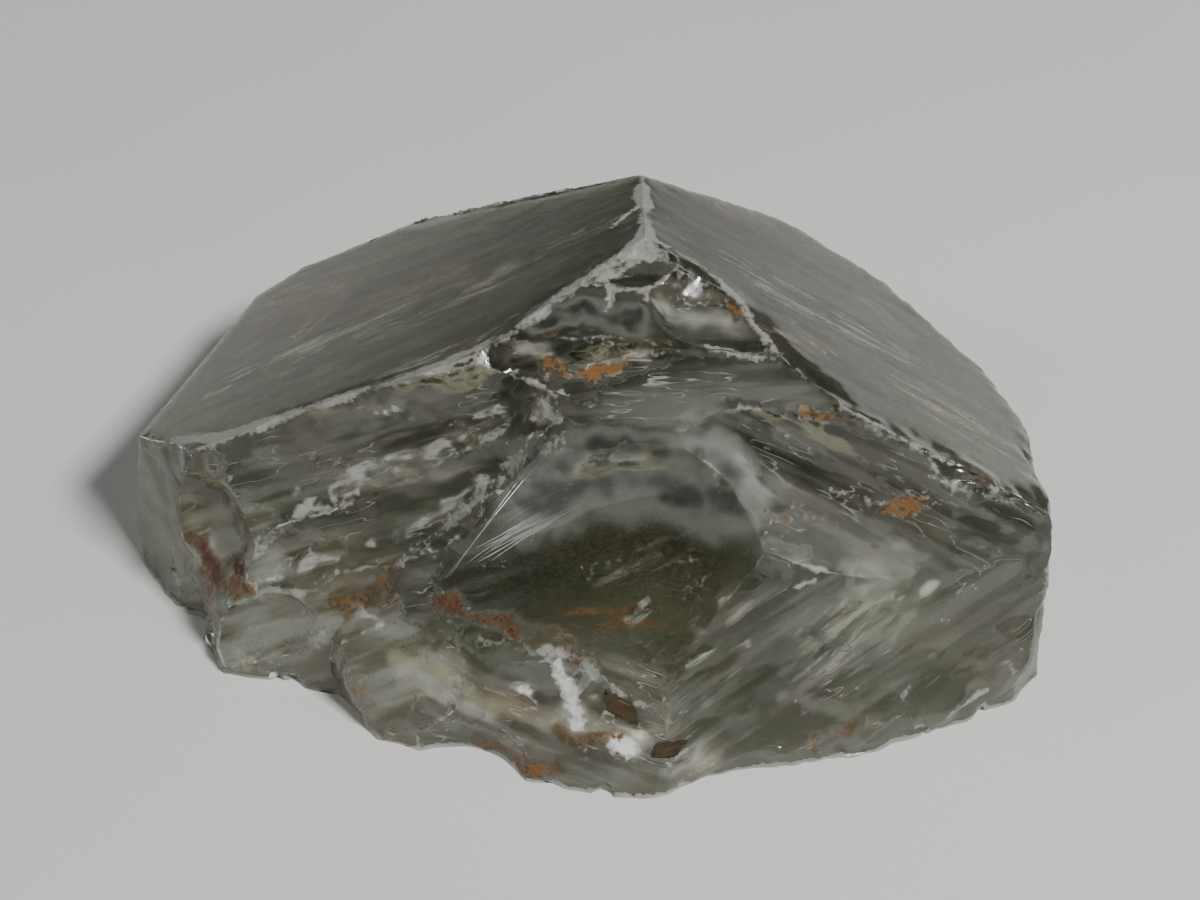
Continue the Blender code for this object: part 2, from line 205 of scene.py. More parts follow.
# Milky, hazy stretches of the surface: line of pixels, reach, strength
HAZE = (
    (((170, 480), (180, 560), (190, 590)), 1.9, 0.55),
    (((230, 620), (300, 590), (380, 560)), 2.4, 0.8),
    (((300, 640), (370, 610)), 2.0, 0.75),
    (((400, 640), (470, 665), (560, 690)), 1.6, 0.55),
    (((960, 560), (1020, 560), (1010, 660)), 3.0, 0.55),
    (((720, 700), (860, 690)), 2.2, 0.45),
    (((520, 355), (575, 365), (635, 355)), 0.7, 1.25),
    (((660, 310), (700, 320), (735, 325)), 1.2, 1.1),
    (((300, 460), (400, 440), (520, 410)), 1.6, 0.45),
    (((400, 500), (480, 450), (540, 430)), 1.2, 0.6),
    (((760, 460), (850, 500), (900, 520)), 1.8, 0.4),
    (((400, 665), (500, 705), (600, 720), (700, 765)), 2.4, 1.15),
    (((560, 660), (590, 690), (640, 740)), 0.8, 1.6),
    (((700, 700), (780, 720), (860, 712)), 1.4, 0.7),
    (((560, 242), (600, 228), (636, 212)), 0.6, 0.9),
    (((275, 380), (325, 368)), 0.9, 0.8),
    (((400, 366), (440, 356), (485, 338)), 0.6, 0.9),
    (((350, 350), (400, 330), (450, 318)), 0.5, 0.7),
    (((835, 396), (862, 412)), 0.3, 1.0),
    (((770, 300), (800, 330), (850, 380)), 0.5, 0.7),
)

# Rust stains: line of pixels, reach, strength, share of dark red
RUST = (
    (((205, 545), (212, 560), (220, 575)), 0.75, 1.0, 0.8),
    (((235, 560), (240, 572)), 0.55, 1.0, 0.9),
    (((205, 590), (225, 585), (240, 578)), 0.9, 0.8, 0.1),
    (((338, 600), (365, 588), (395, 568)), 0.6, 0.8, 0.3),
    (((350, 610), (375, 600), (395, 585)), 0.5, 0.7, 0.2),
    (((430, 600), (470, 612), (510, 625), (560, 640), (590, 655)), 0.55, 0.78, 0.9),
    (((520, 334), (545, 336), (572, 337)), 0.3, 1.0, 0.7),
    (((545, 368), (580, 376), (622, 366)), 0.45, 1.0, 0.0),
    (((735, 300), (743, 315), (747, 322)), 0.35, 0.9, 0.1),
    (((640, 300), (680, 292), (720, 296)), 0.6, 0.5, 0.1),
    (((798, 408), (812, 415), (835, 422)), 0.45, 0.8, 0.2),
    (((885, 508), (905, 510), (925, 505)), 0.45, 0.95, 0.3),
    (((765, 508), (800, 520), (850, 530), (890, 550)), 0.32, 0.7, 0.4),
    (((720, 480), (728, 487)), 0.3, 0.7, 0.6),
    (((815, 738), (840, 730), (872, 724)), 0.45, 0.75, 0.2),
    (((480, 740), (530, 762), (560, 770)), 0.75, 0.85, 0.3),
    (((560, 728), (590, 740), (618, 735)), 0.7, 0.7, 0.4),
    (((430, 412), (455, 428), (480, 440)), 0.4, 0.6, 0.2),
    (((300, 455), (320, 462), (345, 470)), 0.5, 0.5, 0.2),
    (((470, 520), (440, 522), (455, 527)), 0.22, 0.7, 0.6),
    (((345, 700), (365, 720), (385, 745)), 1.3, 0.35, 0.0),
    (((970, 690), (1010, 670), (1035, 640)), 0.5, 0.4, 0.1),
    (((270, 300), (310, 290), (330, 300)), 1.3, 0.45, 0.0),
    (((300, 335), (322, 312)), 1.0, 0.45, 0.0),
    (((380, 300), (410, 295), (445, 275)), 1.3, 0.50, 0.0),
    (((230, 360), (255, 345)), 1.0, 0.35, 0.0),
    (((560, 200), (605, 190)), 0.8, 0.35, 0.0),
    (((800, 332), (832, 352)), 0.45, 0.75, 0.0),
    (((728, 200), (765, 218)), 0.7, 0.45, 0.0),
    (((870, 300), (900, 330)), 1.0, 0.40, 0.0),
    (((955, 470), (990, 482)), 0.6, 0.50, 0.0),
)

# Painted shade, laid on the surface where the stone looks dark deep inside: line of pixels, reach,
# strength
PAINTED_SHADE_MARKS = (
    (((530, 462), (600, 452), (680, 455), (740, 470)), 1.2, 0.7),
    (((530, 505), (590, 488), (660, 485), (730, 500)), 1.9, 0.7),
    (((300, 430), (380, 408), (460, 385)), 0.55, 0.5),
    (((240, 462), (330, 440), (420, 420), (480, 400)), 0.45, 0.4),
    (((535, 318), (580, 310), (635, 322)), 0.75, 0.8),
    (((860, 580), (900, 572)), 0.6, 0.7),
    (((785, 702), (850, 712)), 0.45, 0.45),
    (((525, 668), (560, 690), (590, 672)), 0.8, 0.5),
)

# Clear, dark places where the haze stops: line of pixels, reach, strength
CLEAR = (
    (((540, 500), (640, 480), (720, 540), (660, 590), (560, 600)), 3.0, 0.7),
    (((540, 458), (600, 450), (680, 452), (745, 466)), 1.2, 0.9),
    (((535, 318), (580, 310), (635, 322)), 0.7, 1.0),
    (((530, 680), (560, 690), (590, 680)), 1.0, 0.8),
    (((612, 707), (632, 708)), 0.9, 1.0),
    (((660, 749), (678, 748)), 0.8, 1.0),
)

# Ridges that the photograph doesn't show, left without frost: line of pixels, reach, strength
QUIET = (
    (((597, 651), (640, 640), (690, 622), (769, 591)), 1.0, 1.0),
    (((690, 622), (680, 650)), 0.8, 1.0),
)

# Dull stretches, which only shine softly: line of pixels, reach, strength
DULL = (
    (((695, 440), (725, 480), (765, 520), (830, 545), (915, 575)), 2.6, 0.70),
    (((690, 285), (720, 300)), 0.9, 0.35),
)

# White hairs and blades in the window: end pixels, count, spread, depth, thickness
NEEDLES = (
    ((470, 562), (588, 482), 4, 5.0, 0.5, 0.018),
    ((478, 548), (578, 498), 6, 4.0, 0.4, 0.026),
    ((478, 562), (580, 505), 4, 3.0, 0.6, 0.030),
    ((500, 524), (585, 480), 4, 4.0, 0.5, 0.016),
    ((446, 578), (558, 440), 1, 1.0, 0.3, 0.014),
    ((450, 575), (520, 470), 1, 2.0, 0.3, 0.011),
    ((530, 545), (560, 470), 1, 2.0, 0.4, 0.011),
    ((760, 460), (792, 490), 1, 1.0, 0.3, 0.018),
)

# Sheets of tiny bubbles and healed cracks: middle pixel, depth, row of GRAIN, turn from the
# grain, length, width, strength, and rust share. The last eight are small bright white films,
# painted highlights set where the stone glints.
VEILS = (
    ((300, 350), 1.2, 0, 4.0, 12.0, 2.6, 0.88, 0.1),
    ((440, 300), 1.6, 0, -3.0, 13.0, 3.0, 0.80, 0.2),
    ((560, 245), 1.0, 0, 2.0, 6.0, 1.4, 0.96, 0.0),
    ((310, 300), 2.0, 0, 10.0, 6.0, 2.8, 0.96, 1.0),
    ((410, 290), 2.4, 0, 0.0, 7.0, 2.2, 0.88, 1.0),
    ((420, 365), 0.8, 0, 1.0, 5.0, 1.4, 1.00, 0.0),
    ((800, 300), 1.2, 1, 4.0, 12.0, 2.8, 0.72, 0.2),
    ((790, 340), 0.9, 1, 0.0, 6.0, 1.0, 0.88, 0.9),
    ((960, 420), 1.2, 1, 0.0, 7.0, 3.0, 0.72, 0.3),
    ((860, 620), 1.6, 7, 10.0, 7.0, 4.0, 0.72, 0.0),
    ((650, 560), 2.6, 4, 8.0, 6.0, 1.2, 0.56, 0.3),
    ((700, 620), 2.0, 4, 20.0, 5.0, 1.0, 0.64, 0.2),
    ((300, 600), 1.2, 3, 0.0, 6.0, 2.4, 0.88, 0.1),
    ((480, 690), 1.4, 5, 6.0, 5.0, 1.8, 0.80, 0.2),
    ((400, 460), 1.2, 2, 0.0, 9.0, 2.2, 0.64, 0.2),
    ((600, 620), 1.2, 4, -14.0, 6.0, 1.2, 0.72, 1.0),
    # Painted highlights: small bright white films where the stone glints.
    ((580, 680), 0.36, 5, 75.0, 1.7, 0.8, 3.0, 0.0),
    ((628, 748), 0.34, 5, -20.0, 1.1, 0.7, 3.0, 0.0),
    ((522, 688), 0.34, 5, 0.0, 0.9, 0.6, 2.6, 0.0),
    ((638, 612), 0.5, 4, 20.0, 1.3, 0.7, 3.0, 0.0),
    ((930, 590), 0.34, 7, 0.0, 1.0, 0.6, 2.6, 0.0),
    ((328, 632), 0.34, 3, 20.0, 1.0, 0.6, 2.6, 0.0),
    ((700, 655), 0.36, 7, 0.0, 1.5, 0.5, 2.2, 0.0),
    ((690, 745), 0.34, 7, 0.0, 1.6, 0.7, 2.0, 0.0),
)

# Thin open cracks that flash like silver: middle pixel, depth, tilt, length, width, roll
CRACKS = (
    ((575, 680), 0.9, (70.0, -60.0), 1.6, 0.7, 70.0),
    ((630, 747), 0.6, (60.0, -120.0), 0.9, 0.5, 10.0),
    ((520, 690), 0.7, (75.0, -100.0), 0.8, 0.4, 30.0),
    ((640, 612), 1.2, (50.0, -130.0), 1.4, 0.5, 20.0),
    ((700, 655), 0.9, (60.0, -60.0), 1.3, 0.3, 15.0),
    ((600, 228), 0.9, (10.0, -90.0), 2.0, 0.5, 25.0),
    ((845, 403), 0.8, (60.0, -40.0), 1.4, 0.25, -40.0),
    ((830, 640), 1.0, (60.0, -100.0), 1.8, 0.4, -20.0),
    ((330, 632), 0.5, (60.0, -120.0), 0.9, 0.5, 20.0),
    ((275, 660), 0.4, (60.0, -120.0), 0.7, 0.4, 10.0),
)

# Dark brown mineral grains: middle pixel, depth, length, width, roll, slant
GRAINS = (
    ((620, 707), 0.09, 1.05, 0.68, -20.0, -0.35),
    ((668, 749), 0.08, 0.95, 0.55, 8.0, 0.40),
)


def axes(slope, heading, roll):
    """Unit vectors along, across and out of a surface with this slope and heading."""
    s, h, r = (math.radians(a) for a in (slope, heading, roll))
    out = np.array((math.sin(s) * math.cos(h), math.sin(s) * math.sin(h), math.cos(s)))
    right = np.array((-math.sin(h), math.cos(h), 0.0))
    up = np.cross(out, right)
    along = right * math.cos(r) + up * math.sin(r)
    return along, np.cross(out, along), out


def split_long_edges(bm):
    """Halve the long edges until all are short; new points lie on the old faces."""
    for _ in range(SPLIT_ROUNDS):
        long_edges = [e for e in bm.edges if e.calc_length() > LONGEST_EDGE]
        if not long_edges:
            return
        bmesh.ops.subdivide_edges(bm, edges=long_edges, cuts=1)
        many_sided = [f for f in bm.faces if len(f.verts) > 3]
        bmesh.ops.triangulate(bm, faces=many_sided)


def fine_copy(node, shift):
    """The solid's mesh in stone millimetres, welded, with its ridges marked, and refined."""
    bm = bmesh.new()
    bm.from_mesh(node.data)
    bmesh.ops.scale(bm, vec=(1 / MM, 1 / MM, 1 / MM), verts=bm.verts[:])
    bmesh.ops.translate(bm, vec=-shift, verts=bm.verts[:])
    bmesh.ops.remove_doubles(bm, verts=bm.verts[:], dist=0.001)
    crease = math.radians(CREASE_ANGLE)
    for edge in bm.edges:
        edge.smooth = edge.calc_face_angle(0.0) < crease
    split_long_edges(bm)
    mesh = bpy.data.meshes.new("crystal_stone")
    bm.to_mesh(mesh)
    bm.free()
    return mesh


def read(mesh):
    """Corner points, edges and the mask of sharp edges of a mesh, as arrays."""
    co = np.empty(len(mesh.vertices) * 3)
    mesh.vertices.foreach_get("co", co)
    edges = np.empty(len(mesh.edges) * 2, int)
    mesh.edges.foreach_get("vertices", edges)
    sharp = np.zeros(len(mesh.edges), bool)
    mesh.edges.foreach_get("use_edge_sharp", sharp)
    return co.reshape(-1, 3), edges.reshape(-1, 2), sharp


def write(mesh, co):
    """Give a mesh new corner points."""
    mesh.vertices.foreach_set("co", co.ravel())
    mesh.update()


def normals_of(mesh):
    """The normals at the corner points of a mesh."""
    normal = np.empty(len(mesh.vertices) * 3)
    mesh.vertex_normals.foreach_get("vector", normal)
    return normal.reshape(-1, 3)


def neighbour_mean(co, edges):
    """The mean of each point's neighbours, and how many it has."""
    count = np.bincount(edges.ravel(), minlength=len(co))
    total = np.stack([
        np.bincount(edges[:, 0], co[edges[:, 1], axis], len(co))
        + np.bincount(edges[:, 1], co[edges[:, 0], axis], len(co))
        for axis in range(3)
    ], axis=1)
    return total / np.maximum(count, 1)[:, None], count


def relax(co, edges, sharp):
    """Round off the facets between ridges; points on a ridge only slide along it."""
    ridge = edges[sharp]
    ends = np.bincount(ridge.ravel(), minlength=len(co))
    inside = (ends == 0)[:, None]
    on_ridge = (ends == 2)[:, None]
    for _ in range(RELAX_ROUNDS):
        around, _ = neighbour_mean(co, edges)
        beside, _ = neighbour_mean(co, ridge)
        co = co + 0.5 * inside * (around - co) + 0.5 * on_ridge * (beside - co)
    return co


def noise_at(co, scale, octaves=3, offset=0.0):
    """Fractal noise at each point, about -1 to 1."""
    shift = Vector((offset, offset * 0.7, -offset))
    return np.array([
        noise.fractal(Vector(p) * scale + shift, 1.0, 2.0, octaves) for p in co
    ])


def near(co, chain, reach):
    """How close each point is to a chain of points: 1 on it, 0 beyond the reach."""
    points = np.array(chain, float)
    starts, ends = (points[:-1], points[1:]) if len(points) > 1 else (points, points)
    best = np.full(len(co), np.inf)
    for a, b in zip(starts, ends):
        step = b - a
        t = ((co - a) @ step / max(step @ step, 1e-9)).clip(0.0, 1.0)
        best = np.minimum(best, np.linalg.norm(co - a - t[:, None] * step, axis=1))
    fall = (1.0 - best / reach).clip(0.0, 1.0)
    return fall * fall * (3.0 - 2.0 * fall)


class Sight:
    """Lines of sight of the photograph, on to and into the stone."""

    def __init__(self, mesh):
        self.tree = BVHTree.FromPolygons(
            [v.co for v in mesh.vertices], [p.vertices for p in mesh.polygons])
        rise = math.radians(CAMERA_ELEVATION)
        self.forward = Vector((0.0, math.cos(rise), -math.sin(rise)))
        self.right = Vector((1.0, 0.0, 0.0))
        self.up = self.right.cross(self.forward)
        self.eye = Vector(AIM) - self.forward * CAMERA_DISTANCE

    def line(self, pixel):
        """The direction from the eye through a pixel."""
        width, height = PHOTO_SIZE
        scale = SENSOR / LENS / width
        x = (pixel[0] - width / 2) * scale
        y = (height / 2 - pixel[1]) * scale
        return (self.forward + self.right * x + self.up * y).normalized()

    def on(self, pixel):
        """The point of the surface that the photograph shows at a pixel."""
        line = self.line(pixel)
        point, normal, _, _ = self.tree.ray_cast(self.eye, line)
        if point is None:
            line = (Vector((0.0, 0.0, 5.0)) - self.eye).normalized() * 0.04 + line
            point, normal, _, _ = self.tree.ray_cast(self.eye, line.normalized())
        return point, normal

    def inside(self, pixel, depth):
        """The point at a depth along the refracted line of sight through a pixel."""
        line = self.line(pixel)
        point, normal = self.on(pixel)
        ratio = 1.0 / BERYL_IOR
        cosine = -line.dot(normal)
        bend = ratio * cosine - math.sqrt(1.0 - ratio * ratio * (1.0 - cosine * cosine))
        return point + (line * ratio + normal * bend) * depth

    def chain(self, pixels):
        """The points of the surface at some pixels."""
        return [self.on(pixel)[0] for pixel in pixels]

    def depth_of(self, point):
        """How far inside the stone a point is; below 0 outside."""
        found, normal, _, gap = self.tree.find_nearest(point)
        return gap if (found - point).dot(normal) > 0 else -gap


def grain_rows(co, normal):
    """For each point, the row of GRAIN it belongs to and its place in that row's grain."""
    costs = []
    for _, centre, slope, heading, roll, *_ in GRAIN:
        _, _, out = axes(slope, heading, roll)
        away = np.linalg.norm(co - np.array(centre), axis=1)
        costs.append(4.0 * (1.0 - normal @ out) + away / 9.0)
    row = np.argmin(costs, axis=0)
    place = np.zeros((len(co), 3))
    for index, (_, centre, slope, heading, roll, *_) in enumerate(GRAIN):
        along, across, _ = axes(slope, heading, roll)
        mine = row == index
        offset = co[mine] - np.array(centre)
        place[mine, 0] = offset @ across
        place[mine, 1] = offset @ along
        place[mine, 2] = index
    return row, place


def unsettle(co, gap):
    """Make the ridges uneven; points on flat faces only slide in them."""
    push = np.array([
        UNSETTLED_COARSE * noise.noise_vector(Vector(p) * 0.6)
        + UNSETTLED_FINE * noise.noise_vector(Vector(p) * 1.7)
        for p in co
    ])
    push *= np.exp(-(gap / UNSETTLED_REACH) ** 2)[:, None]
    push *= ((1.0 - co[:, 1]) / 3.0).clip(0.12, 1.0)[:, None]
    for point, slope, heading in FLAT_FACES:
        out = axes(slope, heading, 0.0)[2]
        held = np.abs((co - np.array(point)) @ out) < FLAT_TOLERANCE
        push[held] -= np.outer(push[held] @ out, out)
    return co + push


def facet_height(co):
    """Height of a surface that is broken into small tilted facets."""
    made = np.zeros(len(co))
    for index, p in enumerate(co):
        point = Vector(p) * 1.9
        home = noise.voronoi(point)[1][0]
        tilt = noise.cell_vector(home * 7.3) - Vector((0.5, 0.5, 0.5))
        made[index] = (point - home).dot(tilt)
    return made


def relief(co, row, place, ridge_gap, sight):
    """How far the fine relief stands out of the solid's surface at each point."""
    coarse = noise_at(co, 0.7, 3, 3.0)
    fine = noise_at(co, 2.6, 3, 9.0)
    wavelength = np.array([g[WAVELENGTH_COLUMN] for g in GRAIN])[row]
    height = np.array([g[HEIGHT_COLUMN] for g in GRAIN])[row]
    phase = place[:, 0] / wavelength * math.tau + 2.2 * coarse
    wave = np.sin(phase) + 0.5 * np.sin(2.3 * phase + 1.7 + 1.5 * fine)
    wave *= 0.6 + 0.6 * np.clip(noise_at(co, 0.35, 2, 21.0), -0.8, 1.0)
    broken = height > LEAST_RELIEF_OF_BROKEN
    raised = height * wave + broken * (0.022 * coarse + 0.012 * fine)
    wear = np.exp(-(ridge_gap / WEAR_REACH) ** 2)
    raised -= wear * (WEAR_DEPTH + 0.05 * np.clip(fine + 0.3, 0.0, 1.0))
    crushed = np.zeros(len(co))
    for pixels, reach, amount in CRUSHED:
        crushed = np.maximum(crushed, amount * near(co, sight.chain(pixels), reach))
    rough = crushed > 0
    raised[rough] += crushed[rough] * facet_height(co[rough])
    return raised, crushed


def warped(co, amount):
    """The points, shifted unevenly, so that what is measured from them gets a ragged outline."""
    return co + amount * np.array([
        noise.noise_vector(Vector(p) * 0.8) + 0.6 * noise.noise_vector(Vector(p) * 2.3)
        for p in co
    ])


def mask(co, rows, sight):
    """The strongest of some features at each point; rows start with pixels, reach, strength."""
    made = np.zeros(len(co))
    for pixels, reach, strength, *_ in rows:
        made = np.maximum(made, strength * near(co, sight.chain(pixels), reach))
    return made


def finish_of(row, column, edges):
    """A finish value of each point's part of the surface, softened across the borders."""
    value = np.array([g[column] for g in GRAIN])[row]
    for _ in range(FINISH_FADE):
        around, _ = neighbour_mean(np.repeat(value[:, None], 3, axis=1), edges)
        value = 0.5 * value + 0.5 * around[:, 0]
    return value


def base_rim(co):
    """1 along the front and left rim of the base, which is frosted, and 0 farther in."""
    gap = np.minimum(co[:, 1] + 7.5, co[:, 0] + 0.55 * co[:, 1] + 15.0)
    return (1.0 - gap / BASE_RIM_WIDTH).clip(0.0, 1.0)


def dark_share(co, sight):
    """Where rust is dark red instead of orange."""
    made = np.zeros(len(co))
    for pixels, reach, _, dark in RUST:
        made = np.maximum(made, dark * near(co, sight.chain(pixels), reach * 1.2))
    return made


def add_attribute(mesh, name, values, kind="FLOAT"):
    """Keep a value or vector for each point, for the shaders."""
    layer = mesh.attributes.new(name, kind, "POINT")
    field = "value" if kind == "FLOAT" else "vector"
    layer.data.foreach_set(field, values.astype(np.float32).ravel())


def ridge_distance(co, edges, sharp):
    """Distance from each point to the nearest ridge."""
    on_ridge = np.unique(edges[sharp])
    tree = kdtree.KDTree(len(on_ridge))
    for index in on_ridge:
        tree.insert(co[index], int(index))
    tree.balance()
    return np.array([tree.find(p)[2] for p in co])


def place_in_world(mesh, shift):
    """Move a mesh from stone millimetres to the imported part's metres."""
    mesh.transform(Matrix.Diagonal((MM, MM, MM, 1.0)) @ Matrix.Translation(shift))


def new_piece(name, mesh, material):
    """A piece of the visual model that rides on the root body."""
    obj = bpy.data.objects.new(name, mesh)
    bpy.context.scene.collection.objects.link(obj)
    mesh.materials.append(material)
    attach(obj, "root")
    return obj


def frost_and_shade(co, loose, gap, sight):
    """Masks of the frosted ridges and base, and of the painted shade, which on the base is a
    painted shadow.
    """
    patchy = np.clip(0.5 + 1.4 * noise_at(co, 0.45, 3, 40.0), 0.0, 1.0)
    worn = 0.75 * patchy * np.exp(-(gap / (0.08 + 0.12 * patchy)) ** 2)
    worn *= 1.0 - mask(co, QUIET, sight)
    frost = np.maximum(mask(warped(co, 0.16), FROST, sight) * (0.45 + 0.55 * patchy), worn)
    # Painted shade: dark patches laid on the surface.
    shade = mask(loose, PAINTED_SHADE_MARKS, sight)
    on_base = co[:, 2] < ON_BASE
    frost[on_base] = np.maximum(1.1 * base_rim(loose), BASE_FROST)[on_base]
    # Painted shadow on the base: darkest round its middle and darker towards its back.
    middle = near(co, BASE_SHADOW_MIDDLE, BASE_SHADOW_REACH)
    rear = (co[:, 1] / BASE_SHADE_DEPTH).clip(0.0, 1.0)
    shade[on_base] = np.maximum(0.8 * middle, 0.45 * rear)[on_base]
    return frost, shade


def add_masks(mesh, co, edges, gap, row, sight):
    """Where the stone is frosted, hazy, stained, dull or scratched, where it has white bruises that
    double as painted highlights, and where painted shade lies.
    """
    loose = warped(co, 0.45)
    clear = mask(loose, CLEAR, sight)
    frost, shade = frost_and_shade(co, loose, gap, sight)
    haze = np.maximum(finish_of(row, HAZE_COLUMN, edges), mask(loose, HAZE, sight))
    haze *= 1.0 - 0.8 * clear
    satin = finish_of(row, SATIN_COLUMN, edges) * (1.0 - 0.7 * clear)
    satin = np.maximum(satin, mask(loose, DULL, sight))
    scratch = np.clip(finish_of(row, HEIGHT_COLUMN, edges) * 12.0, 0.03, 0.30)
    patch = np.clip(1.6 * noise_at(co, PATCH_SCALE, 3, 17.0), 0.0, 1.0)
    rust = mask(loose, RUST, sight)
    # White bruises, which also serve as painted highlights.
    bruise_and_highlight = mask(warped(co, 0.25), BRUISES_AND_HIGHLIGHTS, sight)
    packed = {
        "frost_haze_shade": (frost, haze, shade),
        "rust_dark_bruise_highlight": (rust, dark_share(loose, sight), bruise_and_highlight),
        "satin_scratch_patch": (satin, scratch, patch),
    }
    for name, masks in packed.items():
        add_attribute(mesh, name, np.stack(masks, axis=1), "FLOAT_VECTOR")


def build_stone(node, shift, box):
    """The finished crystal: the solid's shape with its fine relief and its stain masks."""
    mesh = fine_copy(node, shift)
    co, edges, sharp = read(mesh)
    co = relax(co, edges, sharp)
    co = unsettle(co, ridge_distance(co, edges, sharp))
    co[:, 2] = co[:, 2].clip(0.0, None)
    write(mesh, co)
    sight = Sight(mesh)
    normal = normals_of(mesh)
    gap = ridge_distance(co, edges, sharp)
    row, place = grain_rows(co, normal)
    height, crushed = relief(co, row, place, gap, sight)
    height[co[:, 2] < ON_BASE] = 0.0
    moved = co + normal * height[:, None]
    low, high = (np.array(corner) / MM - np.array(shift) for corner in box)
    write(mesh, moved.clip(low, high))
    add_masks(mesh, co, edges, gap, row, sight)
    add_attribute(mesh, "grain", place, "FLOAT_VECTOR")
    mesh.shade_smooth()
    mesh.set_sharp_from_angle(angle=math.radians(CHIP_ANGLE))
    _, _, chipped = read(mesh)
    chipped &= crushed[edges].min(axis=1) > 0.0
    mesh.attributes["sharp_edge"].data.foreach_set("value", sharp | chipped)
    print("stone", len(mesh.vertices), "points", len(mesh.polygons), "faces")
    return mesh, sight


# Materials

def add(tree, kind, settings=None, **inputs):
    """A shader node with its settings and inputs; an input may be another node's output."""
    made = tree.nodes.new("ShaderNode" + kind)
    for name, value in (settings or {}).items():
        setattr(made, name, value)
    for name, value in inputs.items():
        connect(tree, value, made.inputs[name.replace("_", " ")])
    return made


def connect(tree, value, socket):
    """Link an output to a socket, or set the socket to a value."""
    if isinstance(value, bpy.types.NodeSocket):
        tree.links.new(value, socket)
    else:
        socket.default_value = value


def calc(tree, operation, a, b=0.0, clamp=False):
    """The outcome of a sum on one or two values."""
    made = tree.nodes.new("ShaderNodeMath")
    made.operation = operation
    made.use_clamp = clamp
    connect(tree, a, made.inputs[0])
    connect(tree, b, made.inputs[1])
    return made.outputs[0]


def blend(tree, factor, a, b):
    """Colour a where the factor is 0 and colour b where it is 1."""
    made = tree.nodes.new("ShaderNodeMix")
    made.data_type = "RGBA"
    connect(tree, factor, made.inputs[0])
    connect(tree, a, made.inputs[6])
    connect(tree, b, made.inputs[7])
    return made.outputs[2]


def ramp(tree, value, low, high, out_low=0.0, out_high=1.0):
    """A smooth step of a value between two levels."""
    made = tree.nodes.new("ShaderNodeMapRange")
    made.interpolation_type = "SMOOTHSTEP"
    numbers = (value, low, high, out_low, out_high)
    for socket, number in zip(made.inputs, numbers):
        connect(tree, number, socket)
    return made.outputs[0]


def speckle(tree, coords, scale, detail=4.0, offset=0.0):
    """Noise from 0 to 1 at a scale per millimetre."""
    moved = add(tree, "VectorMath", {"operation": "ADD"}, Vector=coords)
    moved.inputs[1].default_value = (offset, -offset, offset * 0.5)
    return add(tree, "TexNoise", Vector=moved.outputs[0], Scale=scale, Detail=detail,
               Roughness=0.6).outputs[0]


def attribute(tree, name):
    """A node that reads an attribute of the mesh."""
    made = tree.nodes.new("ShaderNodeAttribute")
    made.attribute_name = name
    return made


def parts_of(tree, name):
    """The three masks that are packed in one vector attribute."""
    made = add(tree, "SeparateXYZ", Vector=attribute(tree, name).outputs["Vector"])
    return tuple(made.outputs)


def new_material(name):
    """A material with its node tree and its Principled shader."""
    material = bpy.data.materials.new(name)
    material.use_nodes = True
    tree = material.node_tree
    return material, tree, tree.nodes["Principled BSDF"]


def millimetres(tree):
    """Places on the object in millimetres."""
    coords = add(tree, "TexCoord").outputs["Object"]
    return add(tree, "VectorMath", {"operation": "SCALE"}, Vector=coords, Scale=1 / MM
               ).outputs[0]


def weigh(tree, a, share, b=0.0):
    """a times share, plus b."""
    made = tree.nodes.new("ShaderNodeMath")
    made.operation = "MULTIPLY_ADD"
    for socket, value in zip(made.inputs, (a, share, b)):
        connect(tree, value, socket)
    return made.outputs[0]


def stretched(tree, vector, factors):
    """A vector with its parts multiplied by fixed factors."""
    made = add(tree, "VectorMath", {"operation": "MULTIPLY"}, Vector=vector)
    made.inputs[1].default_value = factors
    return made.outputs[0]


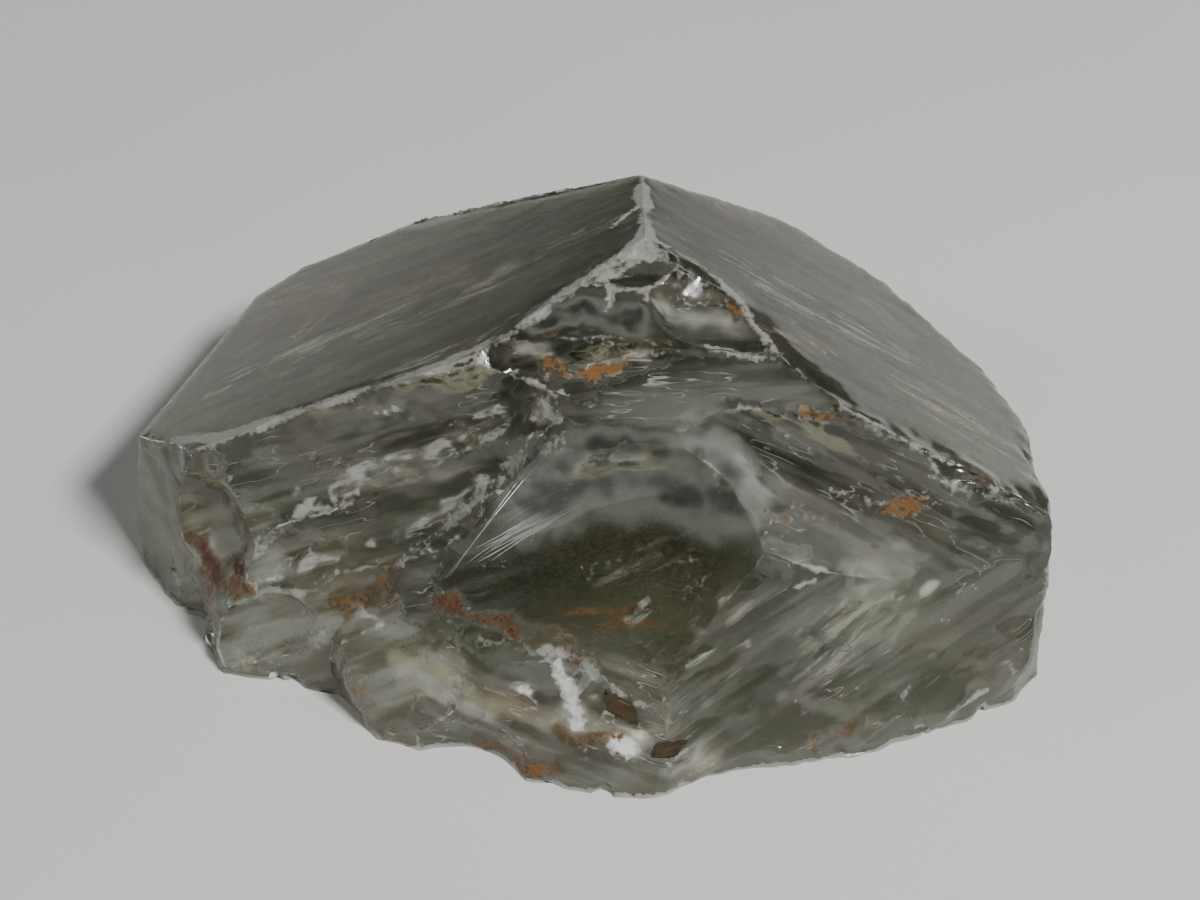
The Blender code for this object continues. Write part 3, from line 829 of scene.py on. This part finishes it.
def stone_layers(tree):
    """Each feature of the stone's surface as a share from 0 to 1."""
    place = millimetres(tree)
    mottle = speckle(tree, place, 0.55, 2.0)
    grit = speckle(tree, place, 5.0, 1.0, 13.0)
    along = stretched(tree, attribute(tree, "grain").outputs["Vector"], (1.5, 0.20, 3.1))
    band = speckle(tree, along, 1.0, 2.0, 5.0)
    streak = speckle(tree, stretched(tree, along, (4.0, 2.5, 1.0)), 1.0, 1.0, 5.0)
    wave = speckle(tree, stretched(tree, along, (1.3, 1.6, 1.0)), 1.0, 2.0, 23.0)
    frost, haze, shade = parts_of(tree, "frost_haze_shade")
    rust, dark, bruise_and_highlight = parts_of(tree, "rust_dark_bruise_highlight")
    satin, scratch, patch = parts_of(tree, "satin_scratch_patch")

    off_line = calc(tree, "ABSOLUTE", calc(tree, "SUBTRACT", wave, 0.5))
    wisp = calc(tree, "MULTIPLY", ramp(tree, off_line, 0.0, 0.016, 1.0, 0.0),
                ramp(tree, mottle, 0.46, 0.60))
    wisp = calc(tree, "MULTIPLY", wisp, ramp(tree, haze, 0.2, 0.8, 0.0, 0.9))
    frosted = weigh(tree, grit, 0.8, calc(tree, "SUBTRACT", frost, 0.4))
    frosted = calc(tree, "MAXIMUM", ramp(tree, frosted, 0.25, 0.85), wisp)
    # Break up the white bruises and painted highlights.
    broken = weigh(tree, mottle, 0.8, calc(tree, "SUBTRACT", bruise_and_highlight, 0.95))
    broken = weigh(tree, grit, 1.1, broken)
    cloud = weigh(tree, band, 0.8, calc(tree, "MULTIPLY", mottle, 0.2))
    thinnest = calc(tree, "MULTIPLY", haze, haze)
    speck = weigh(tree, grit, 0.5, calc(tree, "MULTIPLY", mottle, 0.5))
    rust_edge = weigh(tree, speck, 2.6, calc(tree, "SUBTRACT", rust, 1.30))
    dark_edge = weigh(tree, grit, 0.5, calc(tree, "SUBTRACT", dark, 0.2))
    return SimpleNamespace(
        grit=grit, band=band, streak=streak, satin=satin, scratch=scratch, patch=patch,
        frosted=frosted,
        # white bruises that also serve as painted highlights
        bruised_and_highlighted=ramp(tree, broken, 0.15, 1.05),
        hazed=calc(tree, "MULTIPLY", haze, ramp(tree, cloud, 0.38, 0.60, thinnest, 1.15)),
        # painted shade
        shaded=calc(tree, "MULTIPLY", shade, ramp(tree, mottle, 0.30, 0.60, 0.5, 1.0)),
        rusted=ramp(tree, rust_edge, 0.40, 0.95),
        glow=ramp(tree, rust, 0.0, 0.7),
        dark=ramp(tree, dark_edge, 0.2, 0.8),
    )


def stone_colour(tree, layer):
    """The colour of the stone, from its clear body to the rust on top of it."""
    murk = blend(tree, ramp(tree, layer.band, 0.40, 0.62), OLIVE_HAZE, GREY_HAZE)
    brown = calc(tree, "MAXIMUM", calc(tree, "MULTIPLY", layer.glow, 0.9),
                 calc(tree, "MULTIPLY", layer.patch, 0.75))
    murk = blend(tree, brown, murk, BROWN_HAZE)
    murky = calc(tree, "MAXIMUM", ramp(tree, layer.hazed, 0.0, 0.9),
                 ramp(tree, layer.glow, 0.0, 0.8))
    colour = blend(tree, murky, CLEAR_TINT, murk)
    # Painted shade: a dark tint wherever the shade mask lies.
    colour = blend(tree, ramp(tree, layer.shaded, 0.0, 0.7), colour, PAINTED_SHADE_TINT)
    colour = blend(tree, layer.frosted, colour, FROST_TINT)
    # White bruises that also serve as painted highlights.
    colour = blend(tree, layer.bruised_and_highlighted, colour, BRUISE_AND_HIGHLIGHT_TINT)
    return blend(tree, layer.rusted, colour, blend(tree, layer.dark, ORANGE, DARK_RED))


def solid_share(tree, layer):
    """How much of the surface is dust, frost, rust, white bruise and painted highlight, and painted
    shade, all of which light doesn't pass.
    """
    dust = calc(tree, "MULTIPLY", calc(tree, "MULTIPLY", layer.hazed, layer.hazed), 0.20)
    solid = dust
    shares = (
        (layer.shaded, 0.5), (layer.glow, 0.16), (layer.frosted, 0.55),
        (layer.bruised_and_highlighted, 0.75), (layer.rusted, 0.80),
    )
    for feature, share in shares:
        solid = calc(tree, "MAXIMUM", solid, calc(tree, "MULTIPLY", feature, share))
    return solid


def stone_material():
    """Clear smoky beryl, frosted on its ridges, hazy in places and stained with rust."""
    material, tree, shader = new_material("clear_smoky_beryl")
    layer = stone_layers(tree)
    clear_share = calc(tree, "SUBTRACT", 1.0, solid_share(tree, layer), True)
    rough = weigh(tree, layer.frosted, 0.35, layer.satin)
    scratches = add(tree, "Bump", Strength=layer.scratch, Distance=SCRATCH_BUMP,
                    Height=layer.streak)
    grain = add(tree, "Bump", Distance=FROST_BUMP, Height=layer.grit,
                Strength=calc(tree, "MULTIPLY", layer.frosted, 0.8),
                Normal=scratches.outputs[0])
    tree.links.new(stone_colour(tree, layer), shader.inputs["Base Color"])
    tree.links.new(clear_share, shader.inputs["Transmission Weight"])
    tree.links.new(weigh(tree, layer.rusted, 0.25, rough), shader.inputs["Roughness"])
    tree.links.new(grain.outputs[0], shader.inputs["Normal"])
    shader.inputs["IOR"].default_value = BERYL_IOR
    smoke = add(tree, "VolumeAbsorption", Color=SMOKE_TINT, Density=SMOKE_DENSITY)
    tree.links.new(smoke.outputs[0], tree.nodes["Material Output"].inputs["Volume"])
    return material


def veil_material():
    """Milky films with soft, streaky edges, partly brown with rust."""
    material, tree, shader = new_material("milky_veil")
    place = attribute(tree, "film_place").outputs["Vector"]
    streak = speckle(tree, stretched(tree, place, (0.35, 2.6, 1.0)), 1.0, 3.0)
    cloud = speckle(tree, millimetres(tree), 0.8, 2.0, 3.0)
    body = attribute(tree, "film_body").outputs["Fac"]
    share = calc(tree, "MULTIPLY", ramp(tree, streak, 0.42, 0.68), ramp(tree, cloud, 0.35, 0.6))
    connect(tree, calc(tree, "MULTIPLY", share, body, True), shader.inputs["Alpha"])
    brown = attribute(tree, "film_rust").outputs["Fac"]
    connect(tree, blend(tree, brown, *VEIL_TINTS),
            shader.inputs["Base Color"])
    shader.inputs["Roughness"].default_value = 0.5
    return material


def needle_material():
    """White needles with a bluish shine."""
    material, tree, shader = new_material("white_needle")
    streak = speckle(tree, millimetres(tree), 3.0)
    connect(tree, blend(tree, streak, *NEEDLE_TINTS),
            shader.inputs["Base Color"])
    shader.inputs["Roughness"].default_value = 0.3
    return material


def crack_material():
    """A film of air in the crystal, which mirrors at most angles."""
    material, tree, shader = new_material("air_film")
    wrinkle = speckle(tree, millimetres(tree), 2.5, 3.0)
    bump = add(tree, "Bump", Strength=0.5, Distance=FILM_BUMP, Height=wrinkle)
    tree.links.new(bump.outputs[0], shader.inputs["Normal"])
    shader.inputs["Transmission Weight"].default_value = 1.0
    shader.inputs["Roughness"].default_value = 0.06
    shader.inputs["IOR"].default_value = 1.0 / BERYL_IOR
    return material


def grain_material():
    """Dark brown mica."""
    material, tree, shader = new_material("brown_mica")
    mottle = speckle(tree, millimetres(tree), 4.0)
    connect(tree, blend(tree, mottle, *MICA_TINTS),
            shader.inputs["Base Color"])
    shader.inputs["Roughness"].default_value = 0.4
    return material


# Inclusions

def add_tube(bm, points, radius, sides=5):
    """A closed tapering hair along a chain of points."""
    rings = []
    last = len(points) - 1
    for index, point in enumerate(points):
        step = points[min(index + 1, last)] - points[max(index - 1, 0)]
        turn = step.to_track_quat("Z", "Y").to_matrix()
        size = radius * (0.25 + 0.75 * math.sin(math.pi * index / last) ** 0.5)
        rings.append([bm.verts.new(point + turn @ Vector((
            math.cos(math.tau * k / sides) * size, math.sin(math.tau * k / sides) * size, 0)))
            for k in range(sides)])
    for lower, upper in zip(rings, rings[1:]):
        for k in range(sides):
            bm.faces.new((lower[k], lower[(k + 1) % sides], upper[(k + 1) % sides], upper[k]))
    bm.faces.new(rings[0][::-1])
    bm.faces.new(rings[-1])


def needle_chain(sight, rng, start, end, alone, spread, depth):
    """Nine points along one needle; needles of a bundle differ in place and length."""
    side = rng.uniform(-spread, spread)
    loose = 0 if alone else 1
    a = Vector(start) + Vector((side * 0.5, side)) + Vector((rng.uniform(-9, 9) * loose, 0))
    b = Vector(end) + Vector((side * 0.5, side)) + Vector((rng.uniform(-9, 9) * loose, 0))
    low = 0.0 if alone else rng.uniform(0.0, 0.35)
    high = 1.0 if alone else 1.0 - rng.uniform(0.0, 0.35)
    first = sight.inside(a.lerp(b, low), depth + rng.uniform(-0.2, 0.2))
    final = sight.inside(a.lerp(b, high), depth + rng.uniform(-0.2, 0.2))
    sag = Vector((0, 0, rng.uniform(-0.08, 0.08)))
    return [first.lerp(final, t / 8) + sag * math.sin(math.pi * t / 8) for t in range(9)]


def build_needles(sight, rng):
    """The white hairs and blades in the dark window."""
    bm = bmesh.new()
    for start, end, count, spread, depth, radius in NEEDLES:
        for _ in range(count):
            chain = needle_chain(sight, rng, start, end, count == 1, spread, depth)
            add_tube(bm, chain, radius * rng.uniform(0.6, 1.2))
    mesh = bpy.data.meshes.new("needles")
    bm.to_mesh(mesh)
    bm.free()
    return mesh


def film_points(centre, along, across, out, length, width, steps, rng):
    """A wavy sheet of points with its local place and how far each is from the rim."""
    nu, nv = steps
    wave = rng.uniform(0.0, 40.0)
    rows = []
    for i in range(nu + 1):
        u = 2.0 * i / nu - 1.0
        row = []
        for j in range(nv + 1):
            v = 2.0 * j / nv - 1.0
            x, y = u * length / 2, v * width / 2
            lift = 0.25 * noise.noise(Vector((x * 0.35, y * 0.5, wave)))
            point = Vector(centre) + Vector(along) * x + Vector(across) * y + Vector(out) * lift
            body = max(0.0, 1.0 - math.hypot(u, v))
            row.append((point, (x, y, wave), min(1.0, 2.2 * body)))
        rows.append(row)
    return rows


def cells_inside(grid, steps, sight):
    """The cells of a film that lie well inside the stone and aren't all rim."""
    inside = [[sight.depth_of(point) > FILM_MARGIN for point, _, _ in line] for line in grid]
    corners = [(a, b) for a in (0, 1) for b in (0, 1)]
    return {
        (i, j) for i in range(steps[0]) for j in range(steps[1])
        if all(inside[i + a][j + b] for a, b in corners)
        and max(grid[i + a][j + b][2] for a, b in corners) > 0
    }


def film_faces(cells, kept):
    """Both sides of a film and the walls round its rim; kept numbers its points."""
    faces = []
    for i, j in sorted(cells):
        near_left, far_left, far_right, near_right = (
            (i, j), (i + 1, j), (i + 1, j + 1), (i, j + 1))
        faces.append([kept[1, *p] for p in (near_left, far_left, far_right, near_right)])
        faces.append([kept[-1, *p] for p in (near_left, near_right, far_right, far_left)])
        rim = (
            ((i, j - 1), near_left, far_left), ((i + 1, j), far_left, far_right),
            ((i, j + 1), far_right, near_right), ((i - 1, j), near_right, near_left),
        )
        for beyond, a, b in rim:
            if beyond not in cells:
                faces.append([kept[1, *b], kept[1, *a], kept[-1, *a], kept[-1, *b]])
    return faces


def build_veils(sight, rng):
    """Thin closed films inside the stone, with their place, body and rust as attributes."""
    verts, faces, places, bodies, rusts = [], [], [], [], []
    for pixel, depth, row, turn, length, width, strength, rust in VEILS:
        _, _, slope, heading, roll, *_ = GRAIN[row]
        along, across, out = axes(slope, heading, roll + turn)
        centre = sight.inside(pixel, depth)
        steps = (max(6, int(length / 0.4)), max(6, int(width / 0.3)))
        grid = film_points(centre, along, across, out, length, width, steps, rng)
        kept = {}
        for side in (1, -1):
            for i, line in enumerate(grid):
                for j, (point, local, body) in enumerate(line):
                    kept[side, i, j] = len(verts)
                    verts.append(point + Vector(out) * (side * FILM_THICKNESS / 2))
                    places.append(local)
                    bodies.append(body * strength)
                    rusts.append(rust)
        faces += film_faces(cells_inside(grid, steps, sight), kept)
    mesh = bpy.data.meshes.new("veils")
    mesh.from_pydata(verts, [], faces)
    add_attribute(mesh, "film_place", np.array(places), "FLOAT_VECTOR")
    add_attribute(mesh, "film_body", np.array(bodies))
    add_attribute(mesh, "film_rust", np.array(rusts))
    drop_loose(mesh)
    return mesh


def drop_loose(mesh):
    """Remove points without faces and turn all faces outward."""
    bm = bmesh.new()
    bm.from_mesh(mesh)
    loose = [v for v in bm.verts if not v.link_faces]
    bmesh.ops.delete(bm, geom=loose, context="VERTS")
    bmesh.ops.recalc_face_normals(bm, faces=bm.faces[:])
    bm.to_mesh(mesh)
    bm.free()
    mesh.shade_smooth()


def standing(sight, pixel, depth, tilt, roll, size):
    """The matrix that puts a unit shape at a depth behind a pixel, tilted and scaled."""
    along, across, out = axes(*tilt, roll)
    turn = Matrix((along, across, out)).transposed().to_4x4()
    centre = sight.inside(pixel, depth)
    return Matrix.Translation(centre) @ turn @ Matrix.Diagonal((*size, 1.0)), centre


def build_cracks(sight):
    """Flat lens-shaped films of air."""
    bm = bmesh.new()
    for pixel, depth, tilt, length, width, roll in CRACKS:
        size = (length / 2, width / 2, CRACK_THICKNESS)
        place, centre = standing(sight, pixel, depth, tilt, roll, size)
        ball = bmesh.ops.create_icosphere(bm, subdivisions=3, radius=1.0)
        for vert in ball["verts"]:
            vert.co *= 1.0 + 0.35 * noise.noise(vert.co * 1.7 + centre)
            vert.co = place @ vert.co
    mesh = bpy.data.meshes.new("air_cracks")
    bm.to_mesh(mesh)
    bm.free()
    mesh.shade_smooth()
    return mesh


def build_grains(sight):
    """Angular brown grains."""
    whole = bmesh.new()
    mesh = bpy.data.meshes.new("mica_grains")
    for pixel, depth, length, width, roll, slant in GRAINS:
        size = (length, width, GRAIN_THICKNESS)
        place, centre = standing(sight, pixel, depth, GRAIN_TILT, roll, size)
        bm = bmesh.new()
        bmesh.ops.create_cube(bm, size=1.0)
        bmesh.ops.bevel(bm, geom=bm.edges[:], offset=0.10, segments=2, affect="EDGES")
        bmesh.ops.subdivide_edges(bm, edges=bm.edges[:], cuts=2, use_grid_fill=True)
        for vert in bm.verts:
            vert.co.x += slant * vert.co.y
            vert.co += 0.16 * noise.noise_vector(vert.co * 2.3 + centre)
            vert.co += 0.06 * noise.noise_vector(vert.co * 8.0 + centre)
            vert.co = place @ vert.co
        bm.to_mesh(mesh)
        bm.free()
        whole.from_mesh(mesh)
    whole.to_mesh(mesh)
    whole.free()
    return mesh


# Studio

def area_light(name, place, size, power, colour):
    """A soft rectangular light that faces the stone."""
    data = bpy.data.lights.new(name, "AREA")
    data.shape = "RECTANGLE"
    data.size, data.size_y = size
    data.energy = power
    data.color = colour
    light = bpy.data.objects.new(name, data)
    light.location = place
    light.rotation_euler = (-Vector(place)).to_track_quat("-Z", "Y").to_euler()
    bpy.context.scene.collection.objects.link(light)


def floor_material():
    """A pale dull floor with a faint mottle."""
    material, tree, shader = new_material("pale_floor")
    mottle = speckle(tree, millimetres(tree), 0.05, 1.0)
    connect(tree, blend(tree, mottle, *FLOOR_TINTS),
            shader.inputs["Base Color"])
    shader.inputs["Roughness"].default_value = 0.7
    shader.inputs["Specular IOR Level"].default_value = 0.0
    return material


def build_studio():
    """The pale floor, two soft lights and a dim even sky."""
    mesh = bpy.data.meshes.new("floor")
    corners = [(x * FLOOR_HALF, y * FLOOR_HALF, 0) for x, y in ((-1, -1), (1, -1), (1, 1), (-1, 1))]
    mesh.from_pydata(corners, [], [(0, 1, 2, 3)])
    mesh.materials.append(floor_material())
    floor = bpy.data.objects.new("floor", mesh)
    floor.location.z = -FLOOR_GAP
    bpy.context.scene.collection.objects.link(floor)
    for light in LIGHTS:
        area_light(*light)
    world = bpy.data.worlds.new("studio")
    world.use_nodes = True
    background = world.node_tree.nodes["Background"]
    background.inputs["Color"].default_value = SKY_COLOUR
    background.inputs["Strength"].default_value = SKY_STRENGTH
    bpy.context.scene.world = world


def build_camera(sight, shift):
    """The camera at the photograph's place and angle."""
    data = bpy.data.cameras.new("camera")
    data.lens = LENS
    data.sensor_width = SENSOR
    data.clip_start = 0.001
    data.clip_end = 10.0
    camera = bpy.data.objects.new("camera", data)
    camera.location = (sight.eye + shift) * MM
    camera.rotation_euler = sight.forward.to_track_quat("-Z", "Y").to_euler()
    bpy.context.scene.collection.objects.link(camera)
    bpy.context.scene.camera = camera


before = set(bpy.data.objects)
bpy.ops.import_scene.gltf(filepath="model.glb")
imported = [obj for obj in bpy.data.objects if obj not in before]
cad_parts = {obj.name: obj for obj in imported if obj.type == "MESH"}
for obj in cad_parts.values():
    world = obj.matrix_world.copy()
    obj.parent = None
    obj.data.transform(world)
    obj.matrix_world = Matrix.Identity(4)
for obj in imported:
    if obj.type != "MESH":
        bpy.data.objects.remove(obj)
cad_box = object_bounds()
noise.seed_set(SEED)
rng = random.Random(SEED)
shift = Vector((cad_box[1].x / MM - RIGHT_END_X, cad_box[1].y / MM - BACK_WALL_Y, 0.0))

stone_mesh, sight = build_stone(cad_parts["crystal"], shift, cad_box)
inner = (
    ("needles", build_needles(sight, rng), needle_material()),
    ("veils", build_veils(sight, rng), veil_material()),
    ("air_cracks", build_cracks(sight), crack_material()),
    ("mica_grains", build_grains(sight), grain_material()),
)
place_in_world(stone_mesh, shift)
stone = new_piece("crystal_stone", stone_mesh, stone_material())
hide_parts("crystal")
for piece_name, piece_mesh, piece_material in inner:
    place_in_world(piece_mesh, shift)
    new_piece(piece_name, piece_mesh, piece_material)
build_studio()
build_camera(sight, shift)
